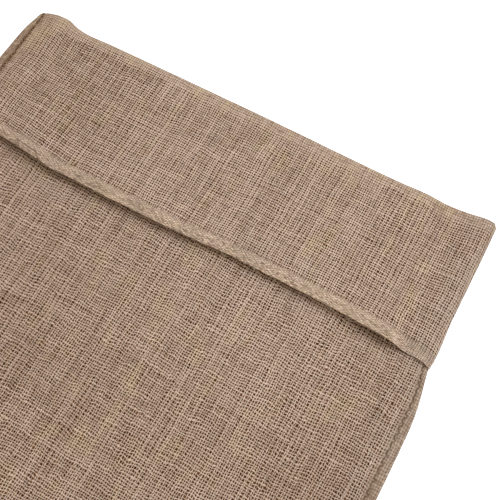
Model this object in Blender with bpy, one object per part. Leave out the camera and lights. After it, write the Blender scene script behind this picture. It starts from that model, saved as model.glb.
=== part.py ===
"""A jute sack that lies flat, with its mouth end folded over onto the front as a deep cuff.

The sack is one length of cloth. It is folded across at the bottom, sewn up both sides with a
flanged seam and hemmed round the mouth, so it is one closed body: a flat bag with walls of
cloth, open at the mouth. X runs across the sack, +Y towards the folded-over end and +Z up, and
the sack rests on z = 0 with its origin under the middle of its box. Lengths are in metres.

Every point of the cloth is placed by its column across the sack, its station along it and its
height in the stack of two panels, measured from the outside of the back panel. The body lies
flat, the stations of the bend turn about the folded end, and the cuff comes back above it.
"""

import math

import bpy

# Cloth and seams
CLOTH = 0.0012  # thickness of the cloth
PANEL_GAP = 0.0010  # air between the back and the front panel
GAP_RUN = 0.012  # from a side seam to where the panels are that far apart
FLANGE_ROLL = 0.0009  # how far the seam allowance swells between its stitches and its edge
FLANGE_FALL = 0.0006  # how much thinner it is at the edge
EDGE_ROUND = 0.0009  # rounding of the cuff's outer edge

# Length and folded end
FOLD = 0.3210  # where the folded end would be if it were straight
BOTTOM = -0.3265  # the fold at the sack's bottom
BEND_RADIUS = 0.0040  # outside radius of the folded end
PUFF_FADE = 0.045  # how far down the cuff the fuller corners of the bend reach
BEND_STEPS = 6
BOTTOM_ROUND = 0.0012  # how far up from its edge the bottom reaches its full thickness
BOTTOM_FADE = 0.050  # how far up the sack the unevenness of the bottom edge reaches

# Hem round the mouth
HEM_WIDTH = 0.0125
HEM_SWELL_OUT = 0.0008  # how far the hem stands out on the outside of a panel
HEM_SWELL_IN = 0.0008  # and on the inside
HEM_RUN = 0.0040  # from the hem's stitches to where the panel is flat again
RIM_ROUND = 0.0006
LIFT_FROM = 0.30  # the share of the cuff, from the fold, that lies close to the body

JUTE_COLOUR = (0.47, 0.36, 0.26, 1.0)
JUTE_ROUGHNESS = 0.95

# Tables of two columns give a curve: a place, then the value there.
# Across the sack: how far the folded end reaches beyond a straight line.
FOLD_REACH = (
    (-0.2515, -0.0035),
    (-0.2480, 0.0012),
    (-0.2400, 0.0040),
    (-0.2310, 0.0055),
    (-0.2195, 0.0055),
    (-0.2120, 0.0030),
    (-0.2000, 0.0005),
    (-0.1900, -0.0002),
    (-0.1650, 0.0005),
    (0.0000, 0.0000),
    (0.1500, -0.0020),
    (0.1800, -0.0012),
    (0.2040, -0.0025),
    (0.2240, -0.0012),
    (0.2420, 0.0011),
    (0.2480, 0.0008),
    (0.2520, -0.0030),
)
# Across the sack: how far the bottom edge stays short of a straight line.
BOTTOM_SHORT = (
    (-0.2570, 0.0060),
    (-0.2530, 0.0022),
    (-0.2420, 0.0004),
    (-0.1500, 0.0012),
    (-0.0500, 0.0000),
    (0.0500, 0.0000),
    (0.1600, 0.0014),
    (0.2430, 0.0003),
    (0.2535, 0.0025),
    (0.2575, 0.0065),
)
# Across the sack: how much fuller the bend is than its usual radius.
FOLD_PUFF = (
    (-0.2500, 0.0002),
    (-0.2250, 0.0012),
    (-0.1950, 0.0000),
    (0.0000, 0.0000),
    (0.2050, 0.0000),
    (0.2420, 0.0005),
    (0.2520, 0.0000),
)
# Across the sack: the line of the mouth's hem, which is the lower edge of the cuff.
HEM_LINE = (
    (-0.2600, 0.1840),
    (-0.1950, 0.1810),
    (-0.1650, 0.1780),
    (-0.1350, 0.1751),
    (-0.0550, 0.1755),
    (0.0050, 0.1766),
    (0.0500, 0.1790),
    (0.1250, 0.1790),
    (0.1950, 0.1764),
    (0.2150, 0.1746),
    (0.2350, 0.1740),
    (0.2460, 0.1730),
    (0.2540, 0.1700),
)
# Across the sack: how far the hem is lifted off the body.
HEM_LIFT = (
    (-0.2600, 0.0050),
    (-0.1850, 0.0058),
    (-0.1250, 0.0052),
    (-0.0750, 0.0040),
    (0.0000, 0.0036),
    (0.0500, 0.0030),
    (0.1200, 0.0032),
    (0.1700, 0.0038),
    (0.2000, 0.0058),
    (0.2140, 0.0054),
    (0.2280, 0.0028),
    (0.2540, 0.0024),
)

# Tables of the sides: the place along the sack, the seam's line and the edge of its allowance.
BODY_LEFT = (
    (-0.3265, -0.2485, -0.2570),
    (-0.2500, -0.2505, -0.2598),
    (-0.1000, -0.2522, -0.2613),
    (0.1000, -0.2527, -0.2613),
    (0.1350, -0.2525, -0.2600),
    (0.1600, -0.2508, -0.2565),
    (0.1840, -0.2480, -0.2530),
    (0.2200, -0.2465, -0.2510),
    (0.3170, -0.2462, -0.2512),
)
BODY_RIGHT = (
    (-0.3265, 0.2490, 0.2575),
    (-0.2500, 0.2510, 0.2600),
    (-0.1000, 0.2525, 0.2613),
    (0.0700, 0.2525, 0.2613),
    (0.1160, 0.2530, 0.2608),
    (0.1360, 0.2527, 0.2590),
    (0.1540, 0.2514, 0.2560),
    (0.1710, 0.2481, 0.2530),
    (0.2200, 0.2465, 0.2508),
    (0.3170, 0.2460, 0.2520),
)
CUFF_LEFT = (
    (0.1840, -0.2505, -0.2595),
    (0.2200, -0.2500, -0.2590),
    (0.2600, -0.2482, -0.2580),
    (0.2800, -0.2480, -0.2568),
    (0.2980, -0.2470, -0.2552),
    (0.3100, -0.2463, -0.2530),
    (0.3170, -0.2462, -0.2512),
)
CUFF_RIGHT = (
    (0.1700, 0.2475, 0.2538),
    (0.1900, 0.2480, 0.2542),
    (0.2260, 0.2465, 0.2525),
    (0.2680, 0.2465, 0.2525),
    (0.3170, 0.2460, 0.2520),
)
# Soft swells of the cloth: the middle across and along, the half-widths across and along, and
# how far the front panel or the cuff rises there.
BODY_SWELLS = (
    (0.236, 0.148, 0.026, 0.030, 0.0009),
    (0.120, 0.060, 0.110, 0.075, 0.0008),
    (-0.100, -0.010, 0.130, 0.100, 0.0011),
    (0.090, -0.150, 0.150, 0.090, 0.0012),
    (-0.140, -0.240, 0.110, 0.070, 0.0009),
    (0.200, -0.270, 0.060, 0.060, 0.0007),
)
CUFF_SWELLS = (
    (-0.190, 0.255, 0.070, 0.050, 0.0010),
    (-0.030, 0.240, 0.120, 0.060, 0.0007),
    (0.110, 0.265, 0.080, 0.050, 0.0008),
    (0.215, 0.240, 0.035, 0.060, 0.0009),
)

# Columns across the sack and stations along it
FLANGE_COLUMNS = (1.0, 0.5)  # shares of the seam allowance, from the edge to the stitches
NEAR_SEAM = (0.0, 0.008, 0.016, 0.026, 0.036, 0.046, 0.058, 0.080)  # distances inside a seam
MIDDLE_COLUMNS = 6
BODY_RUNS = (  # from, to and the number of steps between them
    (BOTTOM + 0.0040, 0.1100, 12),
    (0.1100, 0.1750, 4),
)
UNDER_CUFF_STEPS = 4
CUFF_STEPS = 7
# Distances from the mouth, and the share of the hem's fullness there.
HEM_STATIONS = (
    (HEM_WIDTH + HEM_RUN, 0.0),
    (HEM_WIDTH, 0.30),
    (HEM_WIDTH - 0.0025, 0.85),
    (0.0060, 1.0),
    (0.0015, 0.9),
    (0.0, 0.6),
)


def smooth(share):
    """A soft step from 0 to 1."""
    share = min(1.0, max(0.0, share))
    return share * share * (3.0 - 2.0 * share)


def curve_value(rows, at, column=1):
    """The value at a place on the smooth curve through a table's rows, with no overshoot."""
    if at <= rows[0][0]:
        return rows[0][column]
    if at >= rows[-1][0]:
        return rows[-1][column]
    last = len(rows) - 1
    row = max(k for k in range(last) if rows[k][0] <= at)
    rises = [
        (rows[k + 1][column] - rows[k][column]) / (rows[k + 1][0] - rows[k][0])
        for k in range(last)
    ]

    def slope(k):
        before = rises[max(k - 1, 0)]
        after = rises[min(k, last - 1)]
        return 2.0 * before * after / (before + after) if before * after > 0.0 else 0.0

    run = rows[row + 1][0] - rows[row][0]
    t = (at - rows[row][0]) / run
    step = smooth(t)
    return (
        rows[row][column] * (1.0 - step)
        + rows[row + 1][column] * step
        + run * t * (1.0 - t) * ((1.0 - t) * slope(row) - t * slope(row + 1))
    )


def swell(rows, x, y):
    """How far the cloth rises at a place, from a table of swells."""
    total = 0.0
    for middle_x, middle_y, half_x, half_y, height in rows:
        away = math.hypot((x - middle_x) / half_x, (y - middle_y) / half_y)
        total += height * smooth(1.0 - away)
    return total


def columns_across(left, right, y):
    """The columns at one station: x, distance inside the nearer seam, and share of the flange.

    The distance is 0 on a seam and on its flange, and the share is 0 on the seam and inside it.
    """
    seam_left, edge_left = curve_value(left, y, 1), curve_value(left, y, 2)
    seam_right, edge_right = curve_value(right, y, 1), curve_value(right, y, 2)
    places = [(seam_left + (edge_left - seam_left) * share, 0.0, share) for share in FLANGE_COLUMNS]
    places += [(seam_left + inside, inside, 0.0) for inside in NEAR_SEAM]
    start, end = seam_left + NEAR_SEAM[-1], seam_right - NEAR_SEAM[-1]
    for k in range(1, MIDDLE_COLUMNS + 1):
        x = start + (end - start) * k / (MIDDLE_COLUMNS + 1)
        places.append((x, min(x - seam_left, seam_right - x), 0.0))
    places += [(seam_right - inside, inside, 0.0) for inside in reversed(NEAR_SEAM)]
    places += [
        (seam_right + (edge_right - seam_right) * share, 0.0, share)
        for share in reversed(FLANGE_COLUMNS)
    ]
    return places


def stack(inside, flange, turned, hem, rim):
    """Heights of the four surfaces of the two panels, from the outside of the back panel.

    turned is 0 on the body and 1 on the cuff, hem is the share of the hem's fullness, and rim is
    1 at the very edge of the mouth.
    """
    back_out = EDGE_ROUND * turned * flange**2 - HEM_SWELL_OUT * hem + RIM_ROUND * rim
    back_in = CLOTH + HEM_SWELL_IN * hem
    front_in = back_in + PANEL_GAP * smooth(inside / GAP_RUN)
    front_out = front_in + CLOTH + (HEM_SWELL_IN + HEM_SWELL_OUT) * hem - RIM_ROUND * rim
    front_out += FLANGE_ROLL * math.sin(math.pi * flange) - FLANGE_FALL * flange**2
    return back_out, back_in, front_in, front_out


def bend_radius(x):
    return BEND_RADIUS + curve_value(FOLD_PUFF, x)


def bend_start(x):
    """Where the cloth leaves the floor to turn over."""
    return FOLD + curve_value(FOLD_REACH, x) - bend_radius(x)


def body_station(y_of):
    """One station of the flat body. y_of gives its place along the sack for a place across it."""
    ring = []
    for x, inside, flange in columns_across(BODY_LEFT, BODY_RIGHT, y_of(0.0)):
        y = y_of(x)
        heights = stack(inside, flange, 0.0, 0.0, 0.0)
        rise = swell(BODY_SWELLS, x, y) * smooth(inside / (2.0 * GAP_RUN))
        rises = (0.0, 0.0, rise, rise)
        ring.append([(x, y, h + r) for h, r in zip(heights, rises)])
    return ring


def from_bottom(x, place):
    """A place along the sack, moved with the uneven bottom edge if it is near it."""
    return place + curve_value(BOTTOM_SHORT, x) * smooth(1.0 - (place - BOTTOM) / BOTTOM_FADE)


def bottom_station(share):
    """A station of the rounded fold at the bottom: share is 0 at its edge and 1 at full height."""
    ring = body_station(lambda x: from_bottom(x, BOTTOM + BOTTOM_ROUND * share))
    fall = CLOTH * (1.0 - share)
    return [[p[0], p[1], p[2], (p[3][0], p[3][1], p[3][2] - fall)] for p in ring]


def bend_station(share):
    """One station of the bend: share is 0 where it leaves the body and 1 where the cuff starts."""
    angle = math.pi * share
    ring = []
    for x, inside, flange in columns_across(BODY_LEFT, BODY_RIGHT, FOLD):
        radius, start = bend_radius(x), bend_start(x)
        heights = stack(inside, flange, share, 0.0, 0.0)
        ring.append(
            [
                (x, start + (radius - h) * math.sin(angle), radius - (radius - h) * math.cos(angle))
                for h in heights
            ]
        )
    return ring


def cuff_station(y_of, hem, rim):
    """One station of the cuff, above the body. y_of is as in body_station."""
    ring = []
    for x, inside, flange in columns_across(CUFF_LEFT, CUFF_RIGHT, y_of(0.0)):
        y, start, mouth = y_of(x), bend_start(x), curve_value(HEM_LINE, x)
        turned_down = (start - y) / (start - mouth)
        puff = curve_value(FOLD_PUFF, x) * smooth(1.0 - (start - y) / PUFF_FADE)
        lift = curve_value(HEM_LIFT, x) * smooth((turned_down - LIFT_FROM) / (1.0 - LIFT_FROM))
        rise = swell(CUFF_SWELLS, x, y) * smooth(inside / GAP_RUN)
        top = 2.0 * (BEND_RADIUS + puff) + lift + rise
        heights = stack(inside, flange, 1.0, hem, rim)
        ring.append([(x, y, top - h) for h in heights])
    return ring


def stations_along():
    """All stations from the sack's bottom to its mouth."""
    rings = [bottom_station(0.0), bottom_station(1.0)]
    for start, end, steps in BODY_RUNS:
        for k in range(steps):
            place = start + (end - start) * k / steps
            rings.append(body_station(lambda x, place=place: from_bottom(x, place)))
    under_from = BODY_RUNS[-1][1]
    for k in range(UNDER_CUFF_STEPS):
        share = k / UNDER_CUFF_STEPS
        rings.append(
            body_station(
                lambda x, share=share: under_from + (bend_start(x) - under_from) * share
            )
        )
    rings += [bend_station(k / BEND_STEPS) for k in range(BEND_STEPS + 1)]
    hem_from = HEM_STATIONS[0][0]
    for k in range(1, CUFF_STEPS):
        share = k / CUFF_STEPS
        rings.append(
            cuff_station(
                lambda x, share=share: bend_start(x)
                + (curve_value(HEM_LINE, x) + hem_from - bend_start(x)) * share,
                0.0,
                0.0,
            )
        )
    for distance, hem in HEM_STATIONS:
        rings.append(
            cuff_station(
                lambda x, distance=distance: curve_value(HEM_LINE, x) + distance,
                hem,
                1.0 if distance == 0.0 else 0.0,
            )
        )
    return rings


def sack_mesh():
    """The closed skin of the sack: its outside, the inside of the bag and the rim of the mouth."""
    rings = stations_along()
    columns = len(rings[0])
    first, last = len(FLANGE_COLUMNS), columns - 1 - len(FLANGE_COLUMNS)  # the two seams
    hollow_from = 2  # the station where the inside of the bag ends, just short of the bottom
    vertices, index = [], {}

    def vertex(station, column, surface):
        """The index of a point; on a seam the two inner surfaces meet in one point."""
        if surface == 2 and column in (first, last):
            surface = 1
        key = (station, column, surface)
        if key not in index:
            index[key] = len(vertices)
            vertices.append(rings[station][column][surface])
        return index[key]

    faces = []

    def add(*corners):
        face = [vertex(*corner) for corner in corners]
        face = [v for k, v in enumerate(face) if v != face[k - 1]]
        faces.append(face)

    mouth = len(rings) - 1
    for j in range(mouth):
        for i in range(columns - 1):
            add((j, i, 0), (j + 1, i, 0), (j + 1, i + 1, 0), (j, i + 1, 0))
            add((j, i, 3), (j, i + 1, 3), (j + 1, i + 1, 3), (j + 1, i, 3))
            if j >= hollow_from and first <= i < last:
                add((j, i, 1), (j, i + 1, 1), (j + 1, i + 1, 1), (j + 1, i, 1))
                add((j, i, 2), (j + 1, i, 2), (j + 1, i + 1, 2), (j, i + 1, 2))
        for i, near, far in ((0, 0, 3), (columns - 1, 3, 0)):
            add((j, i, near), (j, i, far), (j + 1, i, far), (j + 1, i, near))
    for i in range(columns - 1):
        add((0, i, 0), (0, i + 1, 0), (0, i + 1, 3), (0, i, 3))
        if first <= i < last:
            add((hollow_from, i, 1), (hollow_from, i, 2), (hollow_from, i + 1, 2), (hollow_from, i + 1, 1))
            add((mouth, i, 0), (mouth, i, 1), (mouth, i + 1, 1), (mouth, i + 1, 0))
            add((mouth, i, 2), (mouth, i, 3), (mouth, i + 1, 3), (mouth, i + 1, 2))
        elif i + 1 == first:
            add((mouth, i, 0), (mouth, i, 3), (mouth, first, 3), (mouth, first, 1), (mouth, first, 0))
        elif i == last:
            add((mouth, last, 0), (mouth, last, 1), (mouth, last, 3), (mouth, i + 1, 3), (mouth, i + 1, 0))
        else:
            add((mouth, i, 0), (mouth, i, 3), (mouth, i + 1, 3), (mouth, i + 1, 0))
    mesh = bpy.data.meshes.new("sack_cloth")
    mesh.from_pydata(vertices, [], faces)
    mesh.update()
    mesh.shade_smooth()
    return mesh


def jute_material():
    material = bpy.data.materials.new("jute")
    material.use_nodes = True
    shader = material.node_tree.nodes["Principled BSDF"]
    shader.inputs["Base Color"].default_value = JUTE_COLOUR
    shader.inputs["Roughness"].default_value = JUTE_ROUGHNESS
    shader.inputs["Metallic"].default_value = 0.0
    return material


def main():
    for old in list(bpy.data.objects):
        bpy.data.objects.remove(old)
    sack = bpy.data.objects.new("sack_cloth", sack_mesh())
    sack.data.materials.append(jute_material())
    bpy.context.scene.collection.objects.link(sack)


main()
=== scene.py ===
"""The looks of a jute sack that lies flat, with its mouth end folded over as a deep cuff.

The cloth is one closed skin of fine mesh on the folds of the sack's solid. It has the stitched
grooves and puckered allowances of the side seams and the lumpy roll of the hem. Its material
weaves the yarns, and the sewing thread and the loose fibres are pieces of their own. Lengths are
in metres. X runs across the sack, +Y towards the folded-over end and +Z up.

A place on the sack has two coordinates. run is the distance along the cloth from the bottom fold
to the mouth, measured down the middle. across is 0 on the left side seam, 1 on the right one,
-1 on the left edge of the seam allowance and 2 on the right one.
"""

import math

import bmesh
import bpy
import numpy as np
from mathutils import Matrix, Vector


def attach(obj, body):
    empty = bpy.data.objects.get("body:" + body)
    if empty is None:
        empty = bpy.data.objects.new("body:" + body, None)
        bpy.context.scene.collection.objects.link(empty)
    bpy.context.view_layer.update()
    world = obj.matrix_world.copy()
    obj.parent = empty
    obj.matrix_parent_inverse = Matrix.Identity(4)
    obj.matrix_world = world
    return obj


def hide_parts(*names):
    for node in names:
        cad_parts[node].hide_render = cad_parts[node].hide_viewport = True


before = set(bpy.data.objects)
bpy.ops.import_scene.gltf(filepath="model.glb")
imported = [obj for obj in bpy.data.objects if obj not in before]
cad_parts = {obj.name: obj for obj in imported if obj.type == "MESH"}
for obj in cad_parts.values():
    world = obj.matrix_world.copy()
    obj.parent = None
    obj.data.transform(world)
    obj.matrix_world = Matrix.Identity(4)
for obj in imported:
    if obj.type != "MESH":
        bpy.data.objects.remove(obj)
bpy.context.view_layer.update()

# ---- Sizes, as in the solid

CLOTH = 0.0012  # how thick the cloth is
PANEL_GAP, GAP_RUN = 0.0010, 0.012  # between the panels, from so far inside the seams
FLANGE_ROLL, FLANGE_FALL = 0.0009, 0.0006  # how the seam allowance swells, and thins to its edge
EDGE_ROUND = 0.0009  # of the cuff's outer edge
FOLD, BOTTOM = 0.3210, -0.3265  # the folded end, if it were straight, and the bottom fold
BOTTOM_FADE = 0.050  # how far up the sack the unevenness of the bottom edge reaches
UNDER_CUFF_FROM = 0.1750  # from here to the fold the cuff covers the body
BEND_RADIUS = 0.0040  # outside radius of the folded end
PUFF_FADE = 0.045  # how far down the cuff the fuller corners of the bend reach
LIFT_FROM = 0.30  # the share of the cuff, from the fold, that lies close to the body
HEM_WIDTH, HEM_RUN = 0.0125, 0.0040  # the hem, and from its stitches to where it is flat again
HEM_SWELL_OUT, HEM_SWELL_IN = 0.0008, 0.0008  # how far it stands out of each panel

# Tables of two columns give a curve: a place across the sack, then the value there.
FOLD_REACH = (  # how far the folded end reaches beyond a straight line
    (-0.2515, -0.0035), (-0.248, 0.0012), (-0.24, 0.004), (-0.231, 0.0055), (-0.2195, 0.0055),
    (-0.212, 0.003), (-0.2, 0.0005), (-0.19, -0.0002), (-0.165, 0.0005), (0.0, 0.0),
    (0.15, -0.002), (0.18, -0.0012), (0.204, -0.0025), (0.224, -0.0012), (0.242, 0.0011),
    (0.248, 0.0008), (0.252, -0.003),
)
BOTTOM_SHORT = (  # how far the bottom edge stays short of one
    (-0.257, 0.006), (-0.253, 0.0022), (-0.242, 0.0004), (-0.15, 0.0012), (-0.05, 0.0),
    (0.05, 0.0), (0.16, 0.0014), (0.243, 0.0003), (0.2535, 0.0025), (0.2575, 0.0065),
)
FOLD_PUFF = (  # how much fuller the bend is
    (-0.25, 0.0002), (-0.225, 0.0012), (-0.195, 0.0), (0.0, 0.0), (0.205, 0.0), (0.242, 0.0005),
    (0.252, 0.0),
)
HEM_LINE = (  # how far along the sack the mouth's edge lies
    (-0.26, 0.184), (-0.195, 0.181), (-0.165, 0.178), (-0.135, 0.1751), (-0.055, 0.1755),
    (0.005, 0.1766), (0.05, 0.179), (0.125, 0.179), (0.195, 0.1764), (0.215, 0.1746),
    (0.235, 0.174), (0.246, 0.173), (0.254, 0.17),
)
# Tables of the sides: the place along the sack, the seam's line and the edge of its allowance.
BODY_LEFT = (
    (-0.3265, -0.2485, -0.257), (-0.25, -0.2505, -0.2598), (-0.1, -0.2522, -0.2613),
    (0.1, -0.2527, -0.2613), (0.135, -0.2525, -0.26), (0.16, -0.2508, -0.2565),
    (0.184, -0.248, -0.253), (0.22, -0.2465, -0.251), (0.317, -0.2462, -0.2512),
)
BODY_RIGHT = (
    (-0.3265, 0.249, 0.2575), (-0.25, 0.251, 0.26), (-0.1, 0.2525, 0.2613),
    (0.07, 0.2525, 0.2613), (0.116, 0.253, 0.2608), (0.136, 0.2527, 0.259),
    (0.154, 0.2514, 0.256), (0.171, 0.2481, 0.253), (0.22, 0.2465, 0.2508),
    (0.317, 0.246, 0.252),
)
CUFF_LEFT = (
    (0.184, -0.2505, -0.2595), (0.22, -0.25, -0.259), (0.26, -0.2482, -0.258),
    (0.28, -0.248, -0.2568), (0.298, -0.247, -0.2552), (0.31, -0.2463, -0.253),
    (0.317, -0.2462, -0.2512),
)
# Soft swells: the middle across and along, the half-widths across and along, and the height.
BODY_SWELLS = (
    (0.236, 0.148, 0.026, 0.03, 0.0009), (0.12, 0.06, 0.11, 0.075, 0.0008),
    (-0.1, -0.01, 0.13, 0.1, 0.0011), (0.09, -0.15, 0.15, 0.09, 0.0012),
    (-0.14, -0.24, 0.11, 0.07, 0.0009), (0.2, -0.27, 0.06, 0.06, 0.0007),
)
CUFF_SWELLS = (
    (-0.19, 0.255, 0.07, 0.05, 0.001), (-0.03, 0.24, 0.12, 0.06, 0.0007),
    (0.11, 0.265, 0.08, 0.05, 0.0008), (0.215, 0.24, 0.035, 0.06, 0.0009),
)

# ---- The scene's own sizes

# These two are as in the solid, but for the mouth's right end, which is pressed flatter here.
HEM_LIFT = (  # how far the hem is lifted off the body
    (-0.26, 0.005), (-0.185, 0.0058), (-0.125, 0.0052), (-0.075, 0.004), (0.0, 0.0036),
    (0.05, 0.003), (0.12, 0.0032), (0.17, 0.0038), (0.2, 0.0064), (0.213, 0.006),
    (0.227, 0.001), (0.254, 0.0004),
)
CUFF_RIGHT = (
    (0.17, 0.247, 0.2529), (0.19, 0.248, 0.2542), (0.226, 0.2465, 0.2525),
    (0.268, 0.2465, 0.2525), (0.317, 0.246, 0.252),
)
HEM_FULLNESS = (  # how full the hem is, at distances from the mouth
    (0.0, 0.88), (0.0015, 1.0), (0.006, 1.0), (0.01, 0.85), (0.0125, 0.3), (0.0165, 0.0),
)
HEM_PRESSED = ((0.212, 1.0), (0.229, 0.0), (0.26, 0.0))  # what is left of that, across
# The mouth's flat right end: where it starts across the sack, how far it reaches from the mouth,
# how far it lies below its lift, and how much thinner each panel is there.
FLAT_FROM, FLAT_REACH, FLAT_DROP, FLAT_THINNER = 0.216, 0.020, 0.0024, 0.00035

# Runs at which the cloth's course changes, down the middle of the sack
RUN_UNDER = UNDER_CUFF_FROM - BOTTOM
RUN_BEND = FOLD - BEND_RADIUS - BOTTOM
RUN_CUFF = RUN_BEND + math.pi * BEND_RADIUS
HEM_MIDDLE = 0.17653  # the hem's line at the middle of the sack
RUN_HEM = RUN_CUFF + FOLD - BEND_RADIUS - HEM_MIDDLE - HEM_WIDTH - HEM_RUN
RUN_MOUTH = RUN_HEM + HEM_WIDTH + HEM_RUN

EDGE_DEPTH, RIM_DEPTH = 0.0011, 0.0006  # how deep the rounding of the edges and of the mouth is
HOLLOW_FROM = 0.0050  # where the inside of the bag starts, just above the bottom
MOUTH_STEP = 0.0018  # how far the lower panel's mouth lies behind the upper one's
MOUTH_WAVE = 0.00035  # how unevenly the mouth's edge runs
BACK_DROP = 0.0030  # how far the back's outside may stand out, past the start of the bend
SEAM_STITCH = 0.0070  # from one stitch of a side seam to the next
SEAM_PHASES = (0.30, 0.75)  # of the left seam's stitches and of the right one's
SEAM_DEPTH = 0.0010  # how deep the stitches draw the cloth in
SCALLOP_MEAN = 0.6  # where the allowance bulges neither way, from 0 at a stitch to 1
BULGE = 0.0023  # how far the allowance bulges inwards between two stitches
LOBE = 0.55  # how much it swells there, of its own roll
PUCKER = 0.00035  # how high the cloth puckers beside the seams
HEM_STITCH, HEM_PHASE, HEM_STITCH_DEPTH = 0.0072, 0.1, 0.00035
HEM_LUMPS, RIPPLE = 0.00042, 0.00022  # heights, of the hem and between the seams

# The weave. The cloth's coordinates count yarns.
WARP_PITCH = 0.00225
BODY_WEFT_PITCH = 0.00271
CUFF_WEFT_PITCH = 0.002535

FOLD_CLOSED = (  # how far from the bend the weave is open again, across the sack
    (-0.235, 0.031), (-0.208, 0.0085), (-0.17, 0.007), (-0.115, 0.0132), (-0.04, 0.0116),
    (0.03, 0.0147), (0.085, 0.0264), (0.12, 0.0217), (0.16, 0.0147), (0.25, 0.0147),
)


# ---- Curves and soft noise


def smooth(share):
    """A soft step from 0 to 1."""
    share = np.clip(share, 0.0, 1.0)
    return share * share * (3.0 - 2.0 * share)


def between(value, start, end):
    """A soft step from 0 at the start to 1 at the end."""
    return smooth((value - start) / (end - start))


def rise(distance, over):
    """0 at a line, and softly up to 1 at a distance from it."""
    return smooth(distance / over)


def fade(distance, reach):
    """1 at a line, and softly down to 0 at a distance from it."""
    return smooth(1.0 - distance / reach)


def hill(distance, half_width, power=2):
    """1 on a line and 0 away from it."""
    return np.exp(-((distance / half_width) ** power))


def curve(rows, at, column=1):
    """The smooth curve through a table's rows at an array of places, with no overshoot."""
    table = np.asarray(rows, float)
    place, value = table[:, 0], table[:, column]
    steep = np.diff(value) / np.diff(place)
    before, after = np.append(steep[0], steep), np.append(steep, steep[-1])
    turning = before * after <= 0.0
    slope = np.where(turning, 0.0, 2.0 * before * after / np.where(turning, 1.0, before + after))
    at = np.clip(at, place[0], place[-1])
    row = np.clip(np.searchsorted(place, at, side="right") - 1, 0, len(place) - 2)
    length = place[row + 1] - place[row]
    t = (at - place[row]) / length
    step = smooth(t)
    return (
        value[row] * (1.0 - step)
        + value[row + 1] * step
        + length * t * (1.0 - t) * ((1.0 - t) * slope[row] - t * slope[row + 1])
    )


def swell(rows, x, y):
    """How far the cloth rises at each place, from a table of swells."""
    total = np.zeros(np.broadcast(x, y).shape)
    for middle_x, middle_y, half_x, half_y, height in rows:
        away = np.hypot((x - middle_x) / half_x, (y - middle_y) / half_y)
        total += height * smooth(1.0 - away)
    return total


def soft_noise(x, y, cell, seed):
    """Smooth noise from -1 to 1 with lumps of about the given cell's two sizes."""
    lattice = np.random.default_rng(seed).uniform(-1.0, 1.0, (64, 64))
    u, v = np.broadcast_arrays(x / cell[0], y / cell[1])
    i, j = np.floor(u).astype(int), np.floor(v).astype(int)
    s, t = smooth(u - i), smooth(v - j)

    def corner(di, dj):
        return lattice[(i + di) % 64, (j + dj) % 64]

    low = corner(0, 0) * (1.0 - s) + corner(1, 0) * s
    high = corner(0, 1) * (1.0 - s) + corner(1, 1) * s
    return low * (1.0 - t) + high * t


def uneven(place, cell, seed):
    """Smooth noise from -1 to 1 along a line."""
    return soft_noise(place, 0.0 * place, (cell, 1.0), seed)


# ---- The sack's surfaces


def bend_radius(x):
    """The outside radius of the folded end."""
    return BEND_RADIUS + curve(FOLD_PUFF, x)


def bend_start(x):
    """Where the cloth leaves the floor to turn over."""
    return FOLD + curve(FOLD_REACH, x) - bend_radius(x)


def places_along(runs, x):
    """The place along the sack of each run at each place across it. Runs go down the rows."""
    flat = BOTTOM + runs
    start = bend_start(x)
    short = curve(BOTTOM_SHORT, x) * fade(runs, BOTTOM_FADE)
    under = (runs - RUN_UNDER) / (RUN_BEND - RUN_UNDER)
    hem_from = curve(HEM_LINE, x) + HEM_WIDTH + HEM_RUN
    turned_down = (runs - RUN_CUFF) / (RUN_HEM - RUN_CUFF)
    return np.select(
        (runs < RUN_UNDER, runs < RUN_BEND, runs < RUN_CUFF, runs < RUN_HEM),
        (
            flat + short,
            UNDER_CUFF_FROM + (start - UNDER_CUFF_FROM) * under,
            start,
            start + (hem_from - start) * turned_down,
        ),
        hem_from - (runs - RUN_HEM),
    )


def side_lines(runs):
    """The lines of the two seams and of the two edges at each run."""
    middle = places_along(runs, np.zeros_like(runs))
    on_body = runs < RUN_CUFF
    at_body = np.where(runs < RUN_BEND, middle, FOLD)
    return [
        np.where(on_body, curve(body, at_body, column), curve(cuff, middle, column))
        for column in (1, 2)
        for body, cuff in ((BODY_LEFT, CUFF_LEFT), (BODY_RIGHT, CUFF_RIGHT))
    ]


def stitch_count(along, pitch, phase):
    """How many stitches there are up to each place, a little unevenly spaced."""
    return along / pitch + phase + 0.35 * np.sin(along * 41.0 + 6.0 * phase)


BACK_OUTSIDE, BACK_INSIDE, FRONT_INSIDE, FRONT_OUTSIDE = range(4)


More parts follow.
